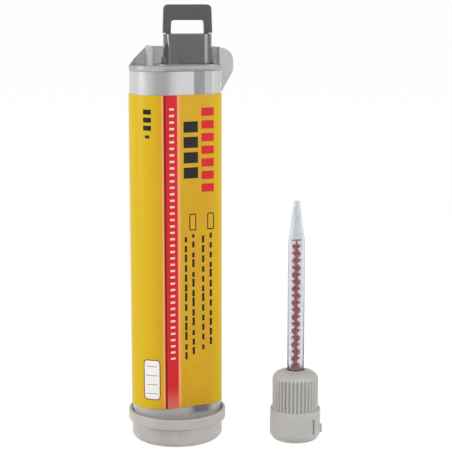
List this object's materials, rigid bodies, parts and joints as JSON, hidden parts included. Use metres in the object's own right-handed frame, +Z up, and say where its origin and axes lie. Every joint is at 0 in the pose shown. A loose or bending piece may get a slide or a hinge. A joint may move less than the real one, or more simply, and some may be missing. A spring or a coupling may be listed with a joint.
{
  "type": "two-chamber instant adhesive cartridge with static mixer",
  "caption": "Clear side-by-side dual syringe cartridge with printed wrap, base cap and pull-loop plunger, beside a ribbed bell nut holding a clear static mixing nozzle",
  "frame": {"origin": "centre of the base cap's flat underside, on the surface that the cartridge stands on", "axes": "+Z up along the cartridge and the mixer, +X from the big chamber to the small one, -Y the printed front"},
  "size_m": [0.0651, 0.0328, 0.1452],
  "materials": {
    "clear_cap": "clear, slightly milky polypropylene, satin",
    "clear_body": "clear, slightly milky polypropylene, gloss",
    "clear_flange": "clear, slightly milky polypropylene, satin",
    "printed_film": "yellow printed film with a red stripe, satin",
    "plunger_gloss": "grey moulded plastic, gloss",
    "plunger_matte": "grey moulded plastic, fine matte",
    "piston_white": "white moulded plastic",
    "dark_plug": "dark grey moulded plastic",
    "seal_rubber": "black rubber",
    "bell_grey": "warm light grey moulded plastic",
    "clear_tube": "clear moulded plastic, gloss",
    "element_red": "dark red moulded plastic"
  },
  "bodies": {
    "cap": {"base_cap": "clear_cap", "outlet_plug": "dark_plug", "outlet_gasket": "seal_rubber"},
    "cartridge": {"cartridge_body": "clear_body", "printed_wrap": "printed_film", "finger_flange": "clear_flange"},
    "plunger": {"plunger_yoke": "plunger_gloss", "pull_loop": "plunger_matte", "main_rod": "plunger_matte", "side_rod": "plunger_matte", "main_piston": "piston_white", "side_piston": "piston_white", "main_piston_front_seal": "seal_rubber", "main_piston_rear_seal": "seal_rubber", "side_piston_seal": "seal_rubber"},
    "bell": {"bell_nut": "bell_grey"},
    "mixer": {"mixer_tube": "clear_tube", "inlet_insert": "piston_white", "inlet_ring": "seal_rubber", "mixing_element": "element_red"}
  },
  "joints": [
    {"name": "cartridge_lift", "type": "slide", "parent": "cap", "child": "cartridge", "axis": [0, 0, 1], "range_m": [0, 0.03]},
    {"name": "plunger_push", "type": "slide", "parent": "cartridge", "child": "plunger", "axis": [0, 0, -1], "range_m": [0, 0.042]},
    {"name": "bell_lift", "type": "slide", "parent": "cap", "child": "bell", "axis": [0, 0, 1], "range_m": [0, 0.03]},
    {"name": "mixer_turn", "type": "hinge", "parent": "bell", "child": "mixer", "pos_m": [0.0395, -0.0075, 0], "axis": [0, 0, 1], "continuous": true}
  ]
}
